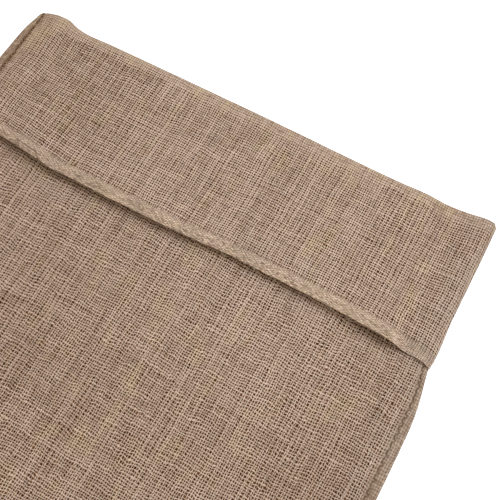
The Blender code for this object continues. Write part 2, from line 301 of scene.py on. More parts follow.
class Surface:
    """Places on one of the sack's four surfaces, given by arrays of runs and acrosses."""

    def __init__(self, which, runs, across):
        self.which = which
        self.on_back = which <= BACK_INSIDE
        self.runs, self.across = np.broadcast_arrays(runs, across)
        self.to_mouth = RUN_MOUTH - self.runs
        self.turn = np.clip((self.runs - RUN_BEND) / (RUN_CUFF - RUN_BEND), 0.0, 1.0)
        self.lay_across()
        self.fullness = curve(HEM_FULLNESS, self.to_mouth.clip(0.0)) * curve(HEM_PRESSED, self.x)
        # 1 at the mouth's right end: where the cuff lies flat, and where the hem looks flat
        self.flat = rise(self.x - FLAT_FROM, over=0.013) * fade(self.to_mouth, FLAT_REACH)
        near_mouth = fade(self.to_mouth - FLAT_REACH, FLAT_REACH)
        self.pressed = rise(self.x - FLAT_FROM, over=0.012) * near_mouth
        waves = MOUTH_WAVE * uneven(self.x, cell=0.011, seed=7)
        self.y = places_along(self.runs, self.x) + waves * fade(self.to_mouth, reach=0.008)
        if not self.on_back:
            step = MOUTH_STEP * fade(self.to_mouth, reach=0.030) * rise(self.inside, over=0.030)
            self.y = self.y + step

    def lay_across(self):
        """The places across the sack, and the distances from the seams and the edges."""
        seam_left, seam_right, edge_left, edge_right = side_lines(self.runs)
        self.left = self.across < 0.5
        outwards = np.where(self.left, -1.0, 1.0)
        width = np.where(self.left, seam_left - edge_left, edge_right - seam_right)
        self.share = np.clip(np.maximum(-self.across, self.across - 1.0), 0.0, 1.0)
        x = seam_left + np.clip(self.across, 0.0, 1.0) * (seam_right - seam_left)
        x = x + outwards * width * self.share
        self.inside = np.where(self.left, x - seam_left, seam_right - x).clip(0.0)
        self.from_edge = (1.0 - self.share) * width
        self.to_edge = self.inside + self.from_edge
        self.off_seam = np.where(self.share > 0.0, self.share * width, self.inside)
        self.seam_count = stitch_count(self.runs, SEAM_STITCH, np.where(self.left, *SEAM_PHASES))
        self.scallop = np.sin(math.pi * (self.seam_count - np.floor(self.seam_count)) ** 0.6)
        bulge = BULGE * (self.scallop - SCALLOP_MEAN) * rise(self.runs, over=0.006)
        bulge = bulge * (0.4 if self.which == BACK_OUTSIDE else 1.0)
        beside = hill(self.inside, half_width=0.004, power=1) * (1.0 - self.share) ** 2
        self.x = x - outwards * self.stitched(self.which == FRONT_OUTSIDE) * bulge * beside

    def stitched(self, on_front):
        """1 beside the seams whose stitches show: both on the front, the left one on the back."""
        return np.where(self.left | on_front, 1.0, 0.0)

    def relief(self, on_front):
        """How far the fine forms of one panel's outside stand out."""
        groove = SEAM_DEPTH * hill(self.off_seam, half_width=0.001) * (1.2 - 0.4 * self.scallop)
        pucker = hill(self.inside, half_width=0.011, power=1) * rise(self.inside, over=0.003)
        pucker = PUCKER * pucker * np.sin(math.pi * self.seam_count) * (self.share == 0.0)
        roll = FLANGE_ROLL * np.sin(math.pi * self.share)
        lobes = roll * LOBE * (self.scallop - SCALLOP_MEAN)
        sewn = self.stitched(on_front) * (pucker - groove + lobes) * (1.0 - self.pressed)
        down = self.to_mouth
        small = soft_noise(self.x + 0.5 * down, down, cell=(0.0034, 0.0026), seed=5)
        wide = soft_noise(self.x - 0.4 * down, down, cell=(0.0090, 0.0040), seed=6)
        lumps = (small + 0.6 * wide) * rise(self.fullness, over=0.8) * rise(down, over=0.002)
        stitch = hill(down - HEM_WIDTH, half_width=0.0011)
        dips = 1.3 - 0.6 * np.abs(np.sin(math.pi * stitch_count(self.x, HEM_STITCH, HEM_PHASE)))
        return sewn + HEM_LUMPS * lumps - HEM_STITCH_DEPTH * stitch * dips

    def height(self):
        """The surface's height in the stack of cloth, from the outside of the back panel."""
        hem, flat = self.fullness, self.flat
        hollow = rise(self.inside, GAP_RUN) * rise(self.runs - HOLLOW_FROM, over=0.010)
        back_in = CLOTH + HEM_SWELL_IN * hem
        front_in = back_in + PANEL_GAP * hollow * (1.0 - 0.75 * flat)
        front_out = front_in + CLOTH + (HEM_SWELL_IN + HEM_SWELL_OUT) * hem + self.relief(True)
        front_out = front_out + FLANGE_ROLL * (1.0 - 0.9 * flat) * np.sin(math.pi * self.share)
        front_out = front_out - FLANGE_FALL * (1.0 - 0.7 * flat) * self.share**2
        front_out = front_out - FLAT_THINNER * flat
        back_out = EDGE_ROUND * self.turn * (1.0 - 0.5 * flat) * self.share**2
        back_out = back_out - HEM_SWELL_OUT * hem - self.relief(False) + FLAT_THINNER * flat
        back_out = np.maximum(back_out, -BACK_DROP * rise(self.turn - 0.15, over=0.30))
        # The edges of the allowances and the fold at the bottom close in a rounded edge.
        middle = 0.5 * (front_out + back_out)
        own = (back_out, back_in, front_in, front_out)[self.which]
        return middle + (own - middle) * self.openness()

    def openness(self):
        """0 at the outer edges of the cloth and 1 further in, as a quarter of a circle."""
        near = np.minimum(self.from_edge, self.runs) / EDGE_DEPTH
        return np.sqrt(1.0 - (1.0 - np.clip(near, 0.0, 1.0)) ** 2)

    def points(self):
        """The course of the stack: flat, round the bend, and back above the body."""
        x, y, height = self.x, self.y, self.height()
        start = bend_start(x)
        from_fold = start - y
        on_cuff = self.runs > RUN_CUFF
        puff = curve(FOLD_PUFF, x) * np.where(on_cuff, fade(from_fold, PUFF_FADE), 1.0)
        radius = BEND_RADIUS + puff
        turned_down = from_fold / (start - curve(HEM_LINE, x))
        lift = curve(HEM_LIFT, x) * between(turned_down, LIFT_FROM, 1.0) - FLAT_DROP * self.flat
        ripple = soft_noise(x, y, cell=(0.031, 0.045), seed=1)
        ripple = RIPPLE * (ripple + soft_noise(x, y, cell=(0.016, 0.024), seed=2))
        above = swell(CUFF_SWELLS, x, y) + ripple * rise(from_fold, over=0.012)
        above = lift + above * rise(self.inside, GAP_RUN)
        below = (swell(BODY_SWELLS, x, y) + ripple) * rise(self.runs - HOLLOW_FROM, over=0.030)
        below = below * (self.runs < RUN_BEND) * (not self.on_back)
        raised = np.where(on_cuff, above, below * rise(self.inside, 2.0 * GAP_RUN))
        angle = math.pi * self.turn
        in_bend = (self.turn > 0.0) & (self.turn < 1.0)
        reach = np.where(in_bend, (radius - height) * np.sin(angle), 0.0)
        z = radius - (radius - height) * np.cos(angle) + raised
        return np.stack((x, y + reach, z), axis=-1)

    def outward(self):
        """Unit vectors out of the cloth."""
        angle = math.pi * self.turn
        away = np.stack((0.0 * angle, -np.sin(angle), np.cos(angle)), axis=-1)
        return away if self.which in (FRONT_OUTSIDE, BACK_INSIDE) else -away

    def yarns(self):
        """The numbers of the warp and weft yarns. The hem's weft lies twice as close."""
        weft = -self.runs / CUFF_WEFT_PITCH if self.on_back else self.runs / BODY_WEFT_PITCH
        weft = weft - (HEM_WIDTH - self.to_mouth).clip(0.0) / CUFF_WEFT_PITCH
        return np.stack((self.x / WARP_PITCH, weft), axis=-1)

    def closed_weave(self):
        """How closely the yarns are drawn together: 1 along the seams and the hem."""
        reach = 0.0030
        if self.on_back:
            reach = 0.0095 + 0.0085 * fade(self.runs - RUN_CUFF, reach=0.080)
        by_seam = fade(self.inside - 0.0020, reach)
        by_edge = 0.85 * fade(self.to_edge, reach=0.0090)
        by_seam = np.where(self.stitched(not self.on_back) > 0.0, by_seam, by_edge)
        past_bend = self.runs > RUN_CUFF
        from_bend = np.where(past_bend, self.runs - RUN_CUFF, (RUN_BEND - self.runs).clip(0.0))
        reach = curve(FOLD_CLOSED, self.x) * (1.0 + 0.5 * uneven(self.x, cell=0.017, seed=23))
        by_hem = between(self.past_hem(), 0.0065, -0.0005) * (1.0 - 0.5 * self.pressed)
        closed = np.maximum.reduce((by_seam, 0.92 * fade(from_bend, reach), by_hem))
        loose = 0.09 * between(self.x, 0.02, -0.04)
        if self.on_back:
            loose = 0.04 + 0.12 * between(self.x, -0.08, -0.16) * between(self.x, -0.27, -0.18)
        return closed - loose * (1.0 - closed)

    def past_hem(self):
        """How far each place lies past where the hem looks like one, which varies along it."""
        return self.to_mouth - 0.0078 - 0.0024 * uneven(self.x, cell=0.013, seed=8)

    def hem_share(self):
        """1 on the hem and 0 off it."""
        return between(self.past_hem(), 0.0040, -0.0026) * (1.0 - 0.75 * self.pressed)

    def seam_shade_and_mottle(self):
        """1 where the side seams' stitches draw the cloth in: painted shade there and between the
        allowance's lobes, with dark mottles on the lobes.
        """
        half_width = 0.0006
        if self.on_back:
            wider = 1.0 + rise(self.runs - RUN_CUFF, over=0.060)
            half_width = 0.0009 * wider * (1.0 + 0.5 * uneven(self.runs, cell=0.0042, seed=17))
        # Painted shade in the groove that the stitches draw in.
        line = hill(self.off_seam, half_width, power=4) * (1.15 - 0.35 * self.scallop)
        on_lobes = np.sin(math.pi * self.share) ** 0.5
        # Painted shade in the creases between the allowance's lobes.
        between_lobes = 0.60 * (1.0 - self.scallop) ** 2 * on_lobes
        # Dark mottles on the lobes, which are the cloth's own colour.
        spots = smooth(1.6 * soft_noise(self.x, self.runs, cell=(0.0026, 0.0040), seed=19) - 0.1)
        spots = (0.60 if self.on_back else 0.35) * spots * on_lobes
        return np.maximum.reduce((line, between_lobes, spots)) * self.stitched(not self.on_back)

    def tone_shift(self):
        """How much lighter the cloth is than usual, below 0 where it is darker: lighter to the left
        and darker to the right; on the cuff lighter towards the hem and darker by its left seam; on
        the body darker towards the bottom.
        """
        light = 0.05 * between(self.x, 0.02, -0.10 if self.on_back else -0.04)
        dark = 0.10 * between(self.x, 0.16, 0.21) * (1.0 - 0.9 * self.pressed)
        if self.on_back:
            light = light + 0.02 + 0.06 * between(self.to_mouth, 0.105, 0.015)
            dark = dark + 0.20 * fade(self.inside, reach=0.026) * self.left
        else:
            dark = dark + 0.05 * between(self.y, 0.12, 0.0)
        return light - dark

    def everything(self):
        """The points, the yarns' numbers and the looks, in the order of LOOKS."""
        looks = (self.closed_weave(), self.hem_share(), self.seam_shade_and_mottle(), self.tone_shift())
        return self.points(), self.yarns(), np.stack(looks, axis=-1)


def surface_grid(which, runs, across):
    """A grid of places on one surface, with its runs down the rows."""
    return Surface(which, runs[:, None], across[None, :])


# ---- The cloth's mesh


LOOKS = ("closed_weave", "hem_share", "seam_shade_and_mottle", "tone_shift")


def quads(*corners):
    """Faces from four equal grids of vertex numbers."""
    return np.stack(corners, axis=-1).reshape(-1, 4).tolist()


def add_object(name, data):
    """Puts a mesh, a light or a camera into the scene."""
    made = bpy.data.objects.new(name, data)
    bpy.context.scene.collection.objects.link(made)
    return made


class Skin:
    """Patches of the sack's surfaces at their own fineness, and the strips that join them."""

    def __init__(self):
        self.points, self.yarns, self.looks, self.faces = [], [], [], []
        self.count = 0

    def add(self, points, yarns, looks):
        """Adds a grid of points and returns their numbers."""
        rows, columns = points.shape[:2]
        self.points.append(points.reshape(-1, 3))
        self.yarns.append(yarns.reshape(-1, 2))
        self.looks.append(looks.reshape(-1, len(LOOKS)))
        numbers = self.count + np.arange(rows * columns).reshape(rows, columns)
        self.count += rows * columns
        return numbers

    def fill(self, numbers):
        """Adds the faces of a grid of vertices."""
        self.faces += quads(numbers[:-1, :-1], numbers[:-1, 1:], numbers[1:, 1:], numbers[1:, :-1])

    def patch(self, surface, runs, across):
        """Adds a grid of one surface and its faces, and returns the vertices' numbers."""
        numbers = self.add(*surface_grid(surface, runs, across).everything())
        self.fill(numbers)
        return numbers

    def bridge(self, first, first_at, second, second_at):
        """Joins two rows of vertices that run side by side, with as many vertices as each has."""
        i = j = 0
        while i < len(first) - 1 or j < len(second) - 1:
            next_first = first_at[i + 1] if i < len(first) - 1 else math.inf
            next_second = second_at[j + 1] if j < len(second) - 1 else math.inf
            if abs(next_first - next_second) < SAME_PLACE:
                self.faces.append([first[i], first[i + 1], second[j + 1], second[j]])
                i, j = i + 1, j + 1
            elif next_first < next_second:
                self.faces.append([first[i], first[i + 1], second[j]])
                i += 1
            else:
                self.faces.append([first[i], second[j + 1], second[j]])
                j += 1

    def mesh(self, name):
        """The welded, closed mesh."""
        points = np.concatenate(self.points)
        mesh = bpy.data.meshes.new(name)
        mesh.from_pydata(points.tolist(), [], [[int(v) for v in face] for face in self.faces])
        looks = np.concatenate(self.looks).astype(np.float32)
        for column, title in enumerate(LOOKS):
            attribute = mesh.attributes.new(title, "FLOAT", "POINT")
            attribute.data.foreach_set("value", np.ascontiguousarray(looks[:, column]))
        corners = np.zeros(len(mesh.loops), np.int32)
        mesh.loops.foreach_get("vertex_index", corners)
        yarns = np.concatenate(self.yarns)[corners]
        mesh.uv_layers.new(name="yarns").uv.foreach_set("vector", yarns.astype(np.float32).ravel())
        weld(mesh)
        mesh.shade_smooth()
        return mesh


def weld(mesh):
    """Joins vertices that lie in one place and turns the faces outwards."""
    work = bmesh.new()
    work.from_mesh(mesh)
    bmesh.ops.remove_doubles(work, verts=work.verts, dist=WELD_DISTANCE)
    bmesh.ops.recalc_face_normals(work, faces=work.faces)
    work.to_mesh(mesh)
    work.free()


def spread(*stretches):
    """Places along a line: each stretch is from, to and about how far apart."""
    places = []
    for start, end, step in stretches:
        count = max(1, round((end - start) / step))
        places += [start + (end - start) * k / count for k in range(count)]
    return np.array(places + [stretches[-1][1]])


SAME_PLACE, WELD_DISTANCE = 1e-9, 2e-6
SACK_WIDTH = 0.5  # from seam to seam, nearly everywhere

# Columns and runs of the patches
FLANGE_SHARES = (1.0, 0.992, 0.97, 0.94, 0.89, 0.80, 0.68, 0.54, 0.40, 0.27, 0.16, 0.07)
NEAR_SEAM = (0.0, 0.0006, 0.0013, 0.0022, 0.0034, 0.0050, 0.0070)
PANEL_COLUMN_STEP, HEM_COLUMN_STEP = 0.0056, 0.0016
BOTTOM_RUNS = (0.0, 0.00008, 0.00025, 0.0005, 0.0008, EDGE_DEPTH, 0.0018, 0.0030)
PANEL_RUN_STEPS = (0.0030, 0.0060, 0.0025)  # on the body, under the cuff and on the cuff
SIDE_RUN_STEPS = (0.0020, 0.0050, 0.0018)
BEND_STEPS, RIM_STEPS = 14, 6
HEM_FROM_MOUTH = 0.0215  # where the hem's own fine patch starts
HEM_DISTANCES = (
    *(0.0205, 0.0180, 0.0162, 0.0150, 0.0142, 0.0135, 0.0129, 0.0125, 0.0121, 0.0114),
    *(0.0104, 0.0092, 0.0079, 0.0066, 0.0053, 0.0041, 0.0030, 0.0021, 0.0013, RIM_DEPTH),
)
INNER_STEP, INNER_FINE_STEP, INNER_FINE_FROM_MOUTH = 0.012, 0.005, 0.026


def left_columns():
    """Places across the left allowance and just inside its seam."""
    return np.array([-s for s in FLANGE_SHARES] + [d / SACK_WIDTH for d in NEAR_SEAM])


def panel_columns(step):
    """Places across a panel between those at its seams."""
    inset = NEAR_SEAM[-1] / SACK_WIDTH
    return spread((inset, 1.0 - inset, step / SACK_WIDTH))[1:-1]


def outer_runs(body_step, under_step, cuff_step):
    """Runs from the bottom to just before the hem's fine patch."""
    return np.append(
        BOTTOM_RUNS[:-1],
        spread(
            (BOTTOM_RUNS[-1], RUN_UNDER, body_step),
            (RUN_UNDER, RUN_BEND, under_step),
            (RUN_BEND, RUN_CUFF, (RUN_CUFF - RUN_BEND) / BEND_STEPS),
            (RUN_CUFF, RUN_MOUTH - HEM_FROM_MOUTH, cuff_step),
        ),
    )


def outer_surface(skin, surface):
    """One panel's outside, from the bottom to the mouth. Returns its last row and columns."""
    left, middle = left_columns(), panel_columns(PANEL_COLUMN_STEP)
    right = 1.0 - left[::-1]
    panel_runs, side_runs = outer_runs(*PANEL_RUN_STEPS), outer_runs(*SIDE_RUN_STEPS)
    panel = skin.patch(surface, panel_runs, middle)
    left_side = skin.patch(surface, side_runs, left)
    right_side = skin.patch(surface, side_runs, right)
    skin.bridge(left_side[:, -1], side_runs, panel[:, 0], panel_runs)
    skin.bridge(panel[:, -1], panel_runs, right_side[:, 0], side_runs)
    columns = np.concatenate((left, middle, right))
    last = np.concatenate((left_side[-1], panel[-1], right_side[-1]))
    fine = np.concatenate((left, panel_columns(HEM_COLUMN_STEP), right))
    hem = skin.patch(surface, RUN_MOUTH - np.array(HEM_DISTANCES), fine)
    skin.bridge(last, columns, hem[0], fine)
    return hem[-1], fine


def rounded_rim(skin, outside, inside, across, first):
    """The rounded edge of one panel at the mouth. Returns its row on the inside."""
    run = np.array([RUN_MOUTH - RIM_DEPTH])
    spots = surface_grid(outside, run, across)
    outer, yarns, looks = spots.everything()
    inner = surface_grid(inside, run, across).points()
    depth = RIM_DEPTH * spots.openness()
    turns = math.pi * np.arange(1, RIM_STEPS + 1) / RIM_STEPS
    rows = []
    for turn in turns:
        row = 0.5 * (outer + inner) + 0.5 * (outer - inner) * math.cos(turn)
        row[..., 1] -= depth * math.sin(turn)
        rows.append(row)
    yarns = np.repeat(yarns, RIM_STEPS, axis=0)
    yarns[..., 1] += 2.0 * RIM_DEPTH * turns[:, None] / CUFF_WEFT_PITCH
    looks = np.repeat(looks, RIM_STEPS, axis=0)
    # The hem's lighter colour fades out round the rim's lower half, so that face is painted darker,
    # as painted shade.
    looks[..., LOOKS.index("hem_share")] *= (2.0 - 2.0 * turns[:, None] / math.pi).clip(0.0, 1.0)
    numbers = np.vstack((first, skin.add(np.concatenate(rows), yarns, looks)))
    skin.fill(numbers)
    return numbers[-1]


def inner_surface(skin, surface, rim, rim_across):
    """The inside of one panel, which meets the other one's at the seams and the bottom."""
    fine_from = RUN_MOUTH - INNER_FINE_FROM_MOUTH
    runs = spread(
        (HOLLOW_FROM, RUN_BEND, INNER_STEP),
        (RUN_BEND, RUN_CUFF, (RUN_CUFF - RUN_BEND) / BEND_STEPS),
        (RUN_CUFF, fine_from, INNER_STEP),
        (fine_from, RUN_MOUTH - 0.006, INNER_FINE_STEP),
    )
    coarse, fine = INNER_STEP / SACK_WIDTH, INNER_FINE_STEP / SACK_WIDTH
    across = spread((0.0, 0.9, coarse), (0.9, 1.0, fine))
    numbers = skin.patch(surface, runs, across)
    between_seams = (rim_across >= 0.0) & (rim_across <= 1.0)
    skin.bridge(numbers[-1], across, rim[between_seams], rim_across[between_seams])


def make_sack_cloth():
    """The whole cloth as one closed skin."""
    skin = Skin()
    for outside, inside in ((FRONT_OUTSIDE, FRONT_INSIDE), (BACK_OUTSIDE, BACK_INSIDE)):
        last, across = outer_surface(skin, outside)
        rim = rounded_rim(skin, outside, inside, across, last)
        inner_surface(skin, inside, rim, across)
    return add_object("sack_cloth_woven", skin.mesh("sack_cloth_woven"))


# ---- Threads and fibres

THREAD_STEP = 0.0006
SEAM_THREAD_RUNS = (0.004, RUN_UNDER + 0.030)  # it goes on under the cuff
SEAM_THREAD_RADIUS = 0.00042
SEAM_THREAD_LIFT, SEAM_THREAD_DIVE = 0.00045, 0.00075  # above its groove, and at each stitch
CUFF_STITCH = 0.0047  # from one slanted stitch of the cuff's seam to the next
CUFF_STITCH_RUNS = (RUN_CUFF - 0.001, RUN_MOUTH - 0.005)
STITCH_LENGTHS, STITCH_SLANTS = (0.0028, 0.0042), (0.0010, 0.0042)
STITCH_SHIFTS, STITCH_RADII = (-0.0010, 0.0006), (0.00075, 0.00125)
KNOT_ACROSS = 0.2564
KNOT_PARTS = ((0.0150, 0.0026, 0.0015), (0.0185, 0.0060, 0.0007))  # to the mouth, length, radius
HEM_THREAD_RADIUS, HEM_THREAD_ENDS = 0.00038, (0.012, 0.988)
HEM_THREAD_SHARE = 0.62  # of a stitch that lies on top of the cloth
FIBRE_POINTS, FIBRE_RADIUS, FIBRE_LIFT = 7, 0.00009, 0.00005
FIBRE_LENGTHS, EDGE_FIBRE_LENGTHS = (0.004, 0.015), (0.001, 0.003)
HEM_FIBRES, HEM_FIBRE_TURN = 0.0145, 0.30  # so far from the mouth they lie along the hem


class Strands:
    """Thin round strands that are joined into one mesh."""

    def __init__(self):
        self.points, self.faces, self.count = [], [], 0

    def add(self, path, radius, up, sides=6):
        """Adds a closed tube along a path, given its radius and a direction up from it."""
        along = np.gradient(path, axis=0)
        side = np.cross(along, up)
        side /= np.linalg.norm(side, axis=1, keepdims=True)
        up = np.cross(side, along)
        up /= np.linalg.norm(up, axis=1, keepdims=True)
        turn = (2.0 * math.pi * np.arange(sides) / sides)[None, :, None]
        ring = side[:, None] * np.cos(turn) + up[:, None] * np.sin(turn)
        radius = np.broadcast_to(radius, len(path))
        self.points.append((path[:, None] + ring * radius[:, None, None]).reshape(-1, 3))
        numbers = self.count + np.arange(len(path) * sides).reshape(-1, sides)
        beside = np.roll(numbers, -1, axis=1)
        self.faces += quads(numbers[:-1], beside[:-1], beside[1:], numbers[1:])
        self.faces += [numbers[0][::-1].tolist(), numbers[-1].tolist()]
        self.count += len(path) * sides

    def lay(self, spots, lift, radius):
        """Adds a strand along places on the cloth, lifted off it."""
        up = spots.outward()
        self.add(spots.points() + up * np.broadcast_to(lift, len(up))[:, None], radius, up)

    def make(self, name, material):
        """The strands as one smooth piece."""
        mesh = bpy.data.meshes.new(name)
        mesh.from_pydata(np.concatenate(self.points).tolist(), [], self.faces)
        mesh.shade_smooth()
        mesh.materials.append(material)
        return add_object(name, mesh)


def stitch_lift(part, arch, sunk):
    """How far a stitch lies above the cloth along its length, with its ends sunk into it."""
    return arch * np.sin(math.pi * part) ** 0.7 - sunk


def make_seam_thread(material):
    """The thread of the side seams, which lies in their grooves and dives at each stitch."""
    strands = Strands()
    for across in (1.0, 0.0):
        runs = spread((*SEAM_THREAD_RUNS, THREAD_STEP))
        spots = Surface(FRONT_OUTSIDE, runs, np.full_like(runs, across))
        lift = SEAM_THREAD_LIFT - SEAM_THREAD_DIVE * (1.0 - spots.scallop) ** 2
        thickness = 1.0 + 0.30 * uneven(runs, cell=0.0031, seed=11)
        strands.lay(spots, lift, SEAM_THREAD_RADIUS * thickness)
    random = np.random.default_rng(31)
    part = np.linspace(0.0, 1.0, 9)
    for start in np.arange(*CUFF_STITCH_RUNS, CUFF_STITCH):
        length, slant = random.uniform(*STITCH_LENGTHS), random.uniform(*STITCH_SLANTS)
        shift, radius = random.uniform(*STITCH_SHIFTS), random.uniform(*STITCH_RADII)
        radius *= 1.0 + 0.4 * rise(start - RUN_CUFF, over=0.05)
        across = (shift + slant * (part - 0.5)) / SACK_WIDTH
        spots = Surface(BACK_OUTSIDE, start + length * part, across)
        strands.lay(spots, stitch_lift(part, arch=0.0013, sunk=0.0006), radius)
    add_knot(strands)
    return strands.make("seam_thread", material)


def add_knot(strands):
    """A knotted end of thread on the cuff, just above the hem."""
    part = np.linspace(0.0, 1.0, 8)
    for to_mouth, length, radius in KNOT_PARTS:
        runs = RUN_MOUTH - to_mouth + length * part
        spots = Surface(BACK_OUTSIDE, runs, KNOT_ACROSS + 0.0008 * np.sin(5.0 * part))
        strands.lay(spots, 0.0003, radius * np.sin(math.pi * (0.15 + 0.70 * part)))


def make_hem_thread(material):
    """The running stitches that hold the hem."""
    strands = Strands()
    fine = np.linspace(*HEM_THREAD_ENDS, 4000)
    run = RUN_MOUTH - HEM_WIDTH
    count = stitch_count(Surface(BACK_OUTSIDE, run, fine).x, HEM_STITCH, HEM_PHASE)
    part = np.linspace(0.0, 1.0, 10)
    for stitch in range(math.ceil(count[0]), math.floor(count[-1])):
        across = np.interp(stitch + HEM_THREAD_SHARE * part, count, fine)
        spots = Surface(BACK_OUTSIDE, np.full_like(across, run), across)
        strands.lay(spots, stitch_lift(part, arch=0.0010, sunk=0.0005), HEM_THREAD_RADIUS)
    return strands.make("hem_thread", material)


# Where loose fibres start: the surface, the runs and acrosses from and to, how many there are,
# and which way they stand off besides out of the cloth.
FIBRE_PLACES = (
    (BACK_OUTSIDE, (RUN_MOUTH - 0.014, RUN_MOUTH - 0.0015), (0.0, 1.0), 360, (0.0, 0.0, 0.0)),
    (BACK_OUTSIDE, (RUN_MOUTH - 0.0016, RUN_MOUTH - 0.0013), (0.0, 1.0), 240, (0.0, -1.0, 0.0)),
    (BACK_OUTSIDE, (RUN_CUFF, RUN_MOUTH - 0.014), (0.0, 1.0), 240, (0.0, 0.0, 0.0)),
    (BACK_OUTSIDE, (RUN_BEND + 0.003, RUN_CUFF), (0.0, 1.0), 120, (0.0, 1.0, 0.0)),
    (FRONT_OUTSIDE, (0.002, RUN_UNDER), (0.0, 1.0), 300, (0.0, 0.0, 0.0)),
    (FRONT_OUTSIDE, (0.001, RUN_UNDER), (-1.0, -0.94), 60, (-1.0, 0.0, 0.0)),
    (FRONT_OUTSIDE, (0.001, RUN_UNDER), (1.94, 2.0), 60, (1.0, 0.0, 0.0)),
)


def make_fibres(material):
    """Loose fibres that stand a little off the cloth, many of them at its edges."""
    random = np.random.default_rng(29)
    part = np.linspace(0.0, 1.0, FIBRE_POINTS)[:, None]
    strands = Strands()
    for which, runs, across, count, away in FIBRE_PLACES:
        spots = Surface(which, random.uniform(*runs, count), random.uniform(*across, count))
        outward = spots.outward()
        at_edge = np.any(away)
        turn = random.uniform(-math.pi, math.pi, count)
        along_hem = HEM_FIBRE_TURN * np.sin(turn) + math.pi * (turn > 0.0)
        turn = np.where(spots.to_mouth < HEM_FIBRES, along_hem, turn)
        flat = np.stack((np.cos(turn), np.sin(turn), 0.0 * turn), axis=-1)
        out = outward * random.uniform(0.02, 0.16, count)[:, None]
        heading = flat + out + np.array(away) * random.uniform(0.3, 1.5, count)[:, None]
        heading /= np.linalg.norm(heading, axis=1, keepdims=True)
        curl = random.normal(0.0, 0.35, (count, 3)) * (1.0, 1.0, 0.25)
        length = random.uniform(*(EDGE_FIBRE_LENGTHS if at_edge else FIBRE_LENGTHS), count)
        for start, way, bend, long, up in zip(spots.points(), heading, curl, length, outward):
            path = start + long * (way * part + bend * part**2) + FIBRE_LIFT * up
            path[:, 2] = path[:, 2].clip(FIBRE_RADIUS)
            if not at_edge:
                path += up * np.maximum(0.0, (start - path) @ up)[:, None]
            strands.add(path, FIBRE_RADIUS, up, sides=4)
    return strands.make("loose_fibres", material)


# ---- Shader nodes


def feed(tree, slots, terms):
    """Links each term that is a wire to its slot, and sets the other slots."""
    for slot, term in zip(slots, terms):
        if isinstance(term, Wire):
            tree.links.new(term.socket, slot)
        else:
            slot.default_value = term


def math_node(kind, swapped=False):
    """A method of Wire that adds one kind of Math node."""

    def method(self, *others):
        return self.maths(kind, *((*others, self) if swapped else (self, *others)))

    return method


class Wire:
    """A number on its way through a shader's nodes. Arithmetic on it adds Math nodes."""

    def __init__(self, tree, socket):
        self.tree, self.socket = tree, socket

    def maths(self, kind, *terms):
        """Adds a Math node. Each term is a wire or a number."""
        node = self.tree.nodes.new("ShaderNodeMath")
        node.operation = kind
        feed(self.tree, node.inputs, terms)
        return Wire(self.tree, node.outputs[0])

    __add__ = math_node("ADD")
    __radd__ = math_node("ADD", swapped=True)
    __sub__ = math_node("SUBTRACT")
    __rsub__ = math_node("SUBTRACT", swapped=True)
    __mul__ = math_node("MULTIPLY")
    __rmul__ = math_node("MULTIPLY", swapped=True)
    __truediv__ = math_node("DIVIDE")
    __gt__ = math_node("GREATER_THAN")
    floor = math_node("FLOOR")
    most = math_node("MAXIMUM")
    least = math_node("MINIMUM")
    root = math_node("SQRT")
    cosine = math_node("COSINE")

    def __neg__(self):
        return 0.0 - self

    def odd(self):
        """0 on even whole numbers and 1 on odd ones."""
        return self.maths("FLOORED_MODULO", self, 2.0)

    def ramp(self, low, high, to_low=0.0, to_high=1.0):
        """A soft step from to_low, at low and below, to to_high, at high and above."""
        node = self.tree.nodes.new("ShaderNodeMapRange")
        node.interpolation_type = "SMOOTHSTEP"
        feed(self.tree, node.inputs, (self, low, high, to_low, to_high))
        return Wire(self.tree, node.outputs["Result"])


